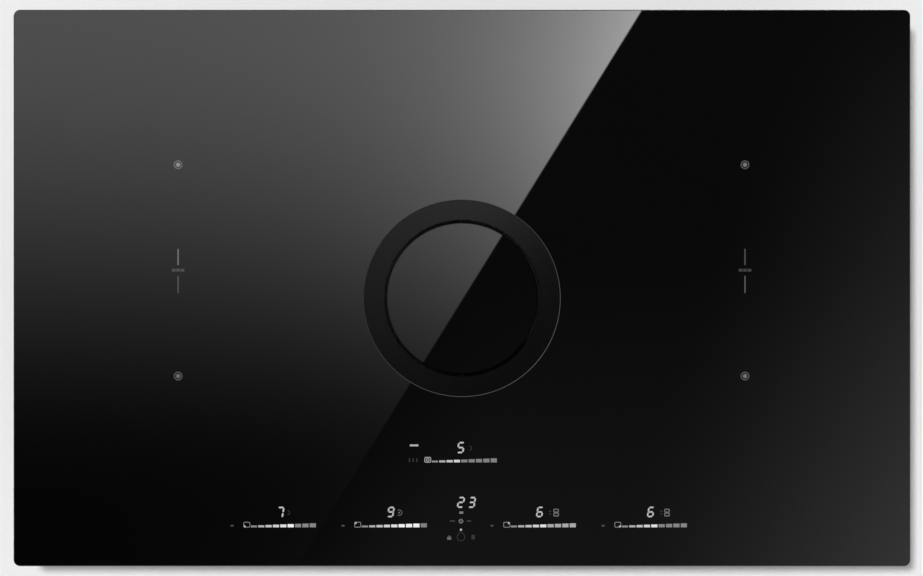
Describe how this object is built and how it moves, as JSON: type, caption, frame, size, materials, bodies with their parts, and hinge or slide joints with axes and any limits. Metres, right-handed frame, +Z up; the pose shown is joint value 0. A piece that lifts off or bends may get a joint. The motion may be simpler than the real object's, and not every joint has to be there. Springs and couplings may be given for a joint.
{
  "type": "downdraft induction cooktop",
  "caption": "Black glass induction cooktop with a round central extraction intake, tilting glass flap, lift-out grease filter and a blower box hung underneath.",
  "frame": {"origin": "centre of the worktop plane that the rim gasket rests on, under the middle of the glass", "axes": "+Z up out of the worktop, +X to the user's right along the glass's long side, +Y to the back"},
  "size_m": [0.83, 0.515, 0.2086],
  "materials": {
    "aluminium_extruded": "extruded",
    "aluminium_sheet": "mill",
    "black_glass": "polished",
    "black_plastic": "moulded",
    "circuit_board": "coated",
    "component_black": "moulded",
    "copper_litz": "wound",
    "ferrite": "sintered",
    "foam": "matte",
    "grey_plastic": "moulded",
    "mica": "matte",
    "motor_steel": "coated",
    "pad_rubber": "matte",
    "satin_black_metal": "satin",
    "screw_steel": "plated",
    "silicone_black": "matte",
    "silicone_grey": "matte",
    "stainless": "brushed",
    "zinc_steel": "galvanised"
  },
  "bodies": {
    "hob": {"box_screws": "screw_steel", "cable_gland": "black_plastic", "coil_carrier_left_front": "grey_plastic", "coil_carrier_left_rear": "grey_plastic", "coil_carrier_right_front": "grey_plastic", "coil_carrier_right_rear": "grey_plastic", "coil_sensors": "component_black", "coil_tray_left": "aluminium_sheet", "coil_tray_right": "aluminium_sheet", "coil_winding_left_front": "copper_litz", "coil_winding_left_rear": "copper_litz", "coil_winding_right_front": "copper_litz", "coil_winding_right_rear": "copper_litz", "control_board": "circuit_board", "control_holder": "grey_plastic", "cooling_fan_frame_left": "component_black", "cooling_fan_frame_right": "component_black", "deck_seal": "foam", "fan_box_lower": "black_plastic", "fan_box_upper": "black_plastic", "fan_motor": "motor_steel", "ferrite_bars": "ferrite", "fixing_brackets": "zinc_steel", "frame_screws": "screw_steel", "glass_adhesive": "silicone_black", "glass_frame": "zinc_steel", "glass_top": "black_glass", "heat_sinks": "aluminium_extruded", "hob_casing": "zinc_steel", "inlet_ring": "black_plastic", "intake_well": "black_plastic", "led_displays": "component_black", "mains_board": "circuit_board", "mains_choke": "copper_litz", "mica_sheets": "mica", "motor_grommets": "silicone_black", "outlet_collar": "black_plastic", "power_boards": "circuit_board", "power_capacitors": "component_black", "rim_gasket": "silicone_black", "scroll_cover": "grey_plastic", "scroll_housing": "grey_plastic", "terminal_block": "grey_plastic", "terminal_cover": "grey_plastic", "touch_springs": "pad_rubber", "well_seal": "silicone_grey"},
    "flap_ring": {"ring_trim": "satin_black_metal", "ring_seal": "silicone_black"},
    "flap": {"flap_glass": "black_glass", "flap_carrier": "black_plastic", "flap_pins": "satin_black_metal"},
    "filter": {"filter_frame": "stainless", "filter_mesh": "stainless", "filter_handles": "stainless", "drip_cup": "black_plastic"},
    "blower_wheel": {"impeller": "black_plastic", "impeller_shaft": "stainless"},
    "left_cooling_wheel": {"cooling_fan_rotor_left": "component_black"},
    "right_cooling_wheel": {"cooling_fan_rotor_right": "component_black"}
  },
  "joints": [
    {"name": "ring_lift", "type": "slide", "parent": "hob", "child": "flap_ring", "axis": [0, 0, 1], "range_m": [0, 0.4]},
    {"name": "flap_tilt", "type": "hinge", "parent": "flap_ring", "child": "flap", "pos_m": [0, -0.0095, -0.0003], "axis": [0, 1, 0], "range_deg": [-75, 75]},
    {"name": "filter_lift", "type": "slide", "parent": "hob", "child": "filter", "axis": [0, 0, 1], "range_m": [0, 0.2]},
    {"name": "impeller_spin", "type": "hinge", "parent": "hob", "child": "blower_wheel", "pos_m": [0.2, -0.035, -0.12], "axis": [0, 0, 1], "continuous": true},
    {"name": "left_cooling_fan_spin", "type": "hinge", "parent": "hob", "child": "left_cooling_wheel", "pos_m": [-0.345, -0.19, -0.035], "axis": [0, 0, 1], "continuous": true},
    {"name": "right_cooling_fan_spin", "type": "hinge", "parent": "hob", "child": "right_cooling_wheel", "pos_m": [0.345, -0.19, -0.035], "axis": [0, 0, 1], "continuous": true}
  ],
  "couplings": [
    {"joint": "filter_lift", "follows": "ring_lift", "ratio": 0.5}
  ]
}
